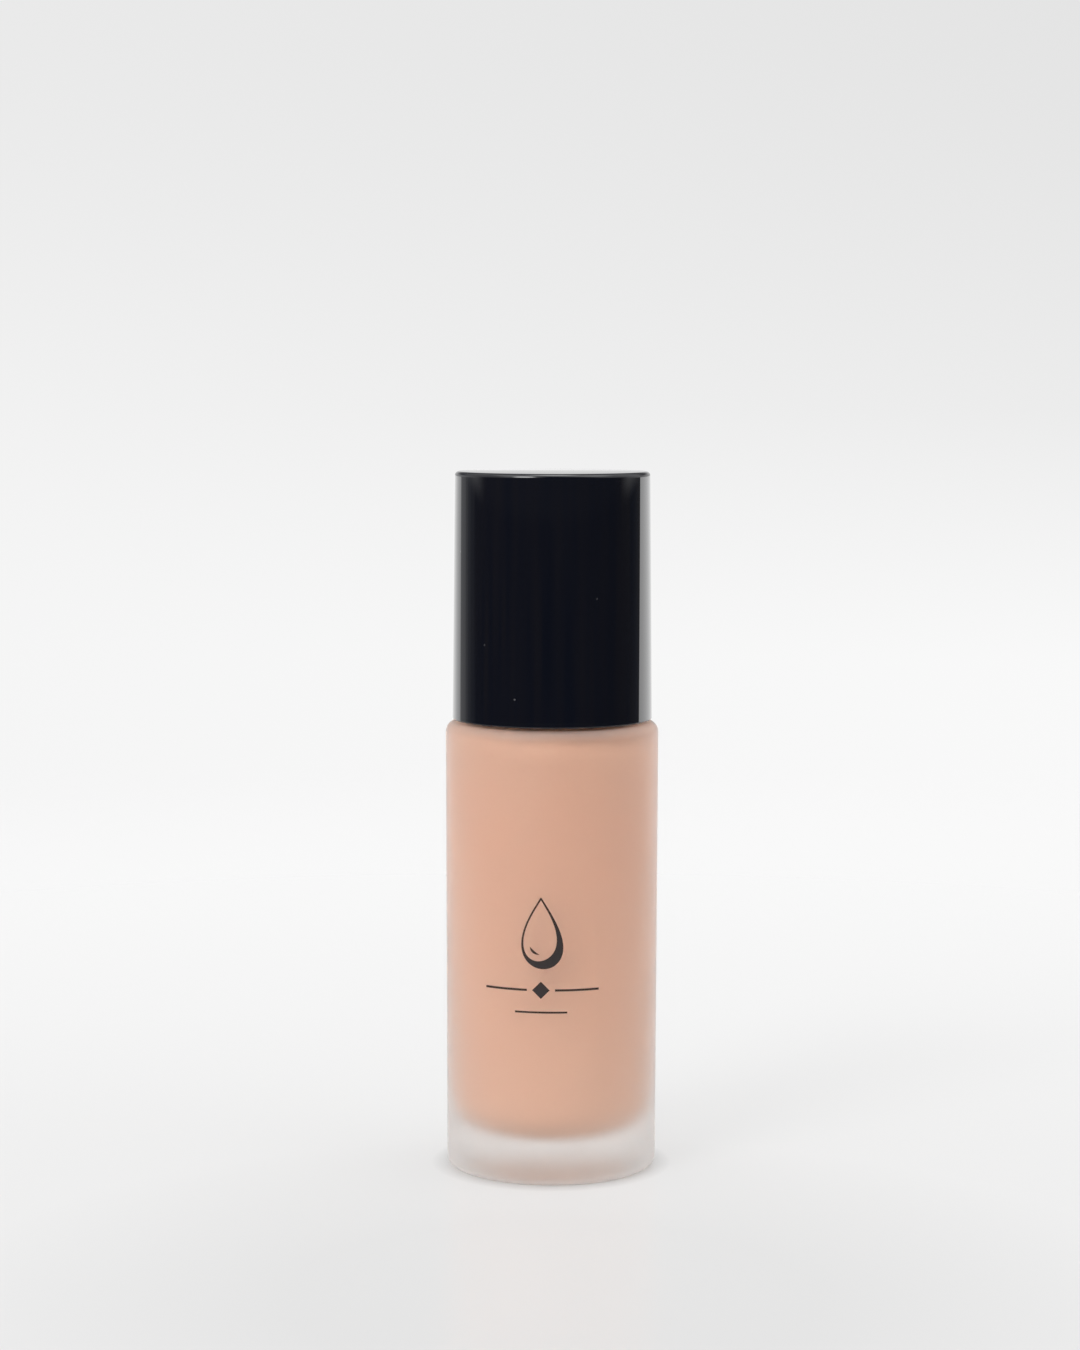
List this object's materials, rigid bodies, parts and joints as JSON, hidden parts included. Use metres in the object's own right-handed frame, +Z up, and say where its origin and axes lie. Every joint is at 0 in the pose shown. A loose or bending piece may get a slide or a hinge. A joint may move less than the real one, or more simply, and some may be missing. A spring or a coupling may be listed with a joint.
{
  "type": "foundation bottle",
  "caption": "Frosted glass cylinder bottle of liquid foundation with a heavy clear base, a screw-on pump and a tall glossy black overcap that pulls off.",
  "frame": {"origin": "centre of the base, on the surface the bottle stands on", "axes": "+Z up the bottle's axis, -Y towards the front, where the print and the pump's nozzle face, +X to the right seen from the front"},
  "size_m": [0.0324, 0.0324, 0.1063],
  "materials": {
    "frosted_glass": "frosted outside, clear inside",
    "foundation": "opaque peach liquid",
    "black_gloss": "high gloss",
    "black_satin": "satin",
    "natural_plastic": "milky translucent",
    "white_foam": "matt foam",
    "stainless_steel": "bright drawn"
  },
  "bodies": {
    "bottle": {"glass_bottle": "frosted_glass", "foundation_fluid": "foundation"},
    "pump": {"pump_housing": "natural_plastic", "stem_guide": "natural_plastic", "stem_wiper": "natural_plastic", "neck_gasket": "white_foam", "dip_tube": "natural_plastic", "spring_seat": "natural_plastic", "return_spring": "stainless_steel"},
    "collar": {"threaded_closure": "natural_plastic", "collar_sleeve": "black_gloss"},
    "overcap": {"overcap_shell": "black_gloss", "overcap_liner": "black_satin"},
    "plunger": {"stem": "natural_plastic", "valve_rod": "natural_plastic"},
    "head": {"actuator_core": "natural_plastic", "actuator_cover": "black_gloss", "nozzle_insert": "black_satin"},
    "piston": {"piston": "natural_plastic"},
    "ball": {"inlet_ball": "stainless_steel"}
  },
  "joints": [
    {"name": "pump_lift", "type": "slide", "parent": "bottle", "child": "pump", "axis": [0, 0, 1], "range_m": [0, 0.00317]},
    {"name": "collar_turn", "type": "hinge", "parent": "pump", "child": "collar", "pos_m": [0, 0, 0.07555], "axis": [0, 0, 1], "range_deg": [0, 360]},
    {"name": "overcap_pull", "type": "slide", "parent": "collar", "child": "overcap", "axis": [0, 0, 1], "range_m": [0, 0.045]},
    {"name": "actuator_press", "type": "slide", "parent": "pump", "child": "plunger", "axis": [0, 0, -1], "range_m": [0, 0.0045], "stiffness_N_per_m": 800, "springref_m": -0.004, "deforming": ["return_spring"]},
    {"name": "actuator_swivel", "type": "hinge", "parent": "plunger", "child": "head", "pos_m": [0, 0, 0.09255], "axis": [0, 0, 1], "continuous": true},
    {"name": "piston_slip", "type": "slide", "parent": "plunger", "child": "piston", "axis": [0, 0, 1], "range_m": [0, 0.0005]},
    {"name": "ball_lift", "type": "slide", "parent": "pump", "child": "ball", "axis": [0, 0, 1], "range_m": [0, 0.001]}
  ],
  "couplings": [
    {"joint": "pump_lift", "follows": "collar_turn", "m_per_rad": 0.00050532}
  ]
}
